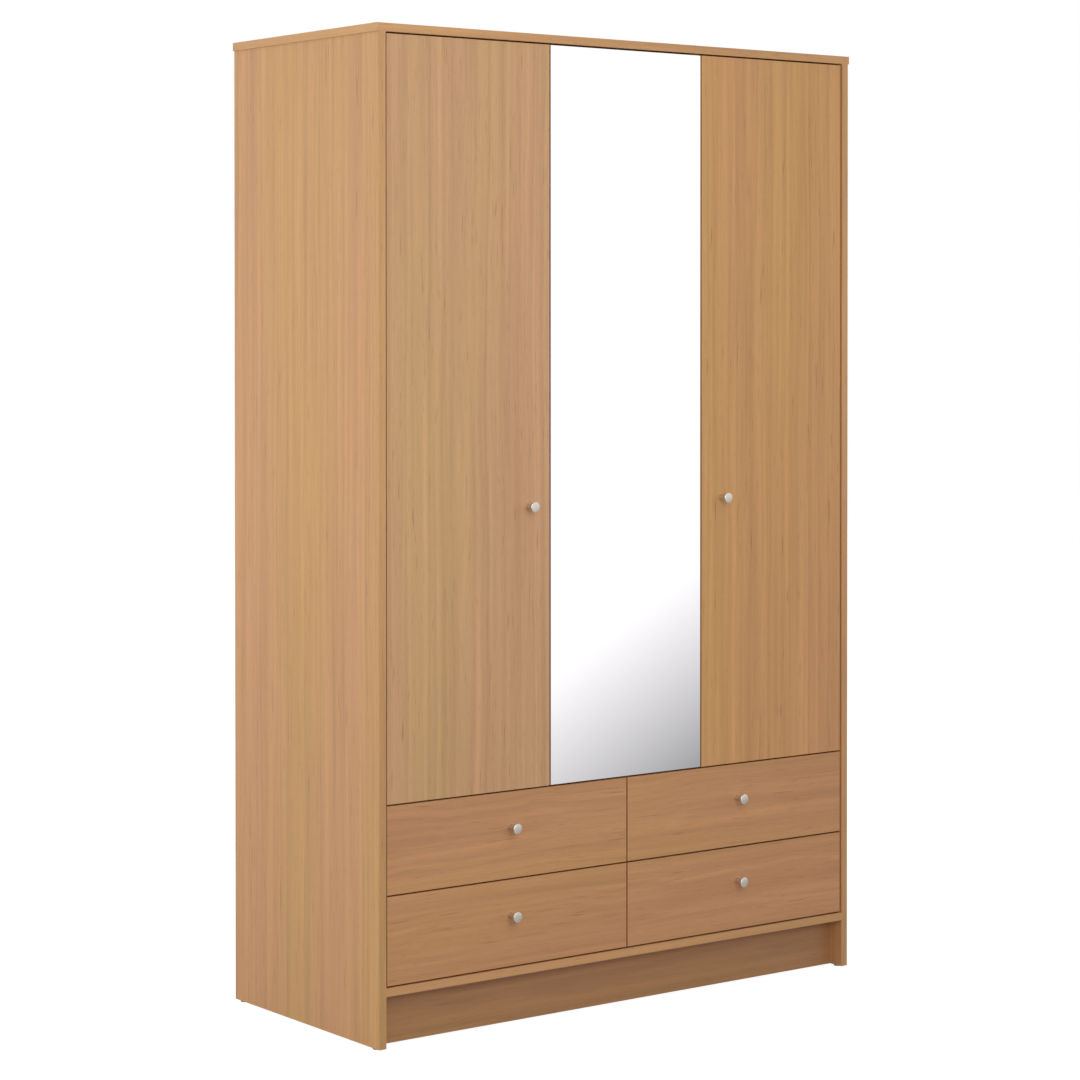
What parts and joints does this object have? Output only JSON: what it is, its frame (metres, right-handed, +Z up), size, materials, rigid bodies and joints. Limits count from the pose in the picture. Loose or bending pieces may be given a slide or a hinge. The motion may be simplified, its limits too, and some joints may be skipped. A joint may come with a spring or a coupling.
{
  "type": "three-door wardrobe with mirror door and drawers",
  "caption": "Tall flat-pack wardrobe with inset hinged doors, the middle one mirrored, over two rows of drawers; hanging space and shelves inside.",
  "frame": {"origin": "on the floor, at the middle of the overall box, knobs included", "axes": "+Z up, front faces -Y, +X to the right seen from the front"},
  "size_m": [1.114, 0.5188, 1.805],
  "materials": {
    "oak_board": "oak-effect foil on chipboard",
    "drawer_board": "plain oak-effect foil",
    "hardboard": "thin hardboard, printed face",
    "strip_plastic": "matt extruded strip",
    "glide_plastic": "matt nail-on glide",
    "bracket_steel": "zinc plated",
    "cam_zinc": "die-cast, bright",
    "bolt_steel": "zinc plated",
    "rail_chrome": "chromed tube",
    "hinge_steel": "nickel plated",
    "knob_nickel": "satin nickel",
    "mirror_glass": "silvered float glass",
    "runner_plastic": "plain moulded strip"
  },
  "bodies": {
    "carcass": {"left_side_panel": "oak_board", "right_side_panel": "oak_board", "top_panel": "oak_board", "base_panel": "oak_board", "middle_shelf": "oak_board", "wardrobe_partition": "oak_board", "drawer_partition": "oak_board", "plinth_front": "oak_board", "plinth_rear": "oak_board", "shelf_lower": "oak_board", "shelf_upper": "oak_board", "back_panel_left": "hardboard", "back_panel_right": "hardboard", "back_panel_strip": "strip_plastic", "foot_glides": "glide_plastic", "wall_brackets": "bracket_steel", "cam_locks": "cam_zinc", "cam_bolts": "bolt_steel", "hanging_rail": "rail_chrome", "rail_sockets": "rail_chrome", "shelf_pins": "bolt_steel", "hinge_arms": "hinge_steel", "hinge_plates": "hinge_steel", "drawer_runners": "runner_plastic"},
    "left_door": {"left_door_panel": "oak_board", "left_door_hinge_cups": "hinge_steel", "left_door_knob": "knob_nickel"},
    "left_links": {"left_hinge_links": "hinge_steel"},
    "mirror_door": {"mirror_door_panel": "oak_board", "mirror_door_hinge_cups": "hinge_steel", "mirror_glass": "mirror_glass"},
    "mirror_links": {"mirror_hinge_links": "hinge_steel"},
    "right_door": {"right_door_panel": "oak_board", "right_door_hinge_cups": "hinge_steel", "right_door_knob": "knob_nickel"},
    "right_links": {"right_hinge_links": "hinge_steel"},
    "lower_left_drawer": {"lower_left_drawer_front": "oak_board", "lower_left_drawer_left_side": "drawer_board", "lower_left_drawer_right_side": "drawer_board", "lower_left_drawer_back": "drawer_board", "lower_left_drawer_bottom": "hardboard", "lower_left_drawer_knob": "knob_nickel"},
    "lower_right_drawer": {"lower_right_drawer_front": "oak_board", "lower_right_drawer_left_side": "drawer_board", "lower_right_drawer_right_side": "drawer_board", "lower_right_drawer_back": "drawer_board", "lower_right_drawer_bottom": "hardboard", "lower_right_drawer_knob": "knob_nickel"},
    "upper_left_drawer": {"upper_left_drawer_front": "oak_board", "upper_left_drawer_left_side": "drawer_board", "upper_left_drawer_right_side": "drawer_board", "upper_left_drawer_back": "drawer_board", "upper_left_drawer_bottom": "hardboard", "upper_left_drawer_knob": "knob_nickel"},
    "upper_right_drawer": {"upper_right_drawer_front": "oak_board", "upper_right_drawer_left_side": "drawer_board", "upper_right_drawer_right_side": "drawer_board", "upper_right_drawer_back": "drawer_board", "upper_right_drawer_bottom": "hardboard", "upper_right_drawer_knob": "knob_nickel"}
  },
  "joints": [
    {"name": "left_door_swing", "type": "hinge", "parent": "carcass", "child": "left_door", "pos_m": [-0.533, -0.2324, 1.1095], "axis": [0, 0, -1], "range_deg": [0, 95]},
    {"name": "left_link_swing", "type": "hinge", "parent": "carcass", "child": "left_links", "pos_m": [-0.52441, -0.21422, 1.1095], "axis": [0, 0, -1], "range_deg": [0, 53.5]},
    {"name": "mirror_door_swing", "type": "hinge", "parent": "carcass", "child": "mirror_door", "pos_m": [0.17467, -0.2324, 1.1095], "axis": [0, 0, 1], "range_deg": [0, 95]},
    {"name": "mirror_link_swing", "type": "hinge", "parent": "carcass", "child": "mirror_links", "pos_m": [0.16608, -0.21422, 1.1095], "axis": [0, 0, 1], "range_deg": [0, 53.5]},
    {"name": "right_door_swing", "type": "hinge", "parent": "carcass", "child": "right_door", "pos_m": [0.533, -0.2324, 1.1095], "axis": [0, 0, 1], "range_deg": [0, 95]},
    {"name": "right_link_swing", "type": "hinge", "parent": "carcass", "child": "right_links", "pos_m": [0.52441, -0.21422, 1.1095], "axis": [0, 0, 1], "range_deg": [0, 53.5]},
    {"name": "lower_left_drawer_slide", "type": "slide", "parent": "carcass", "child": "lower_left_drawer", "axis": [0, -1, 0], "range_m": [0, 0.32]},
    {"name": "lower_right_drawer_slide", "type": "slide", "parent": "carcass", "child": "lower_right_drawer", "axis": [0, -1, 0], "range_m": [0, 0.32]},
    {"name": "upper_left_drawer_slide", "type": "slide", "parent": "carcass", "child": "upper_left_drawer", "axis": [0, -1, 0], "range_m": [0, 0.32]},
    {"name": "upper_right_drawer_slide", "type": "slide", "parent": "carcass", "child": "upper_right_drawer", "axis": [0, -1, 0], "range_m": [0, 0.32]}
  ],
  "couplings": [
    {"joint": "left_link_swing", "follows": "left_door_swing", "ratio": 0.561},
    {"joint": "mirror_link_swing", "follows": "mirror_door_swing", "ratio": 0.561},
    {"joint": "right_link_swing", "follows": "right_door_swing", "ratio": 0.561}
  ]
}
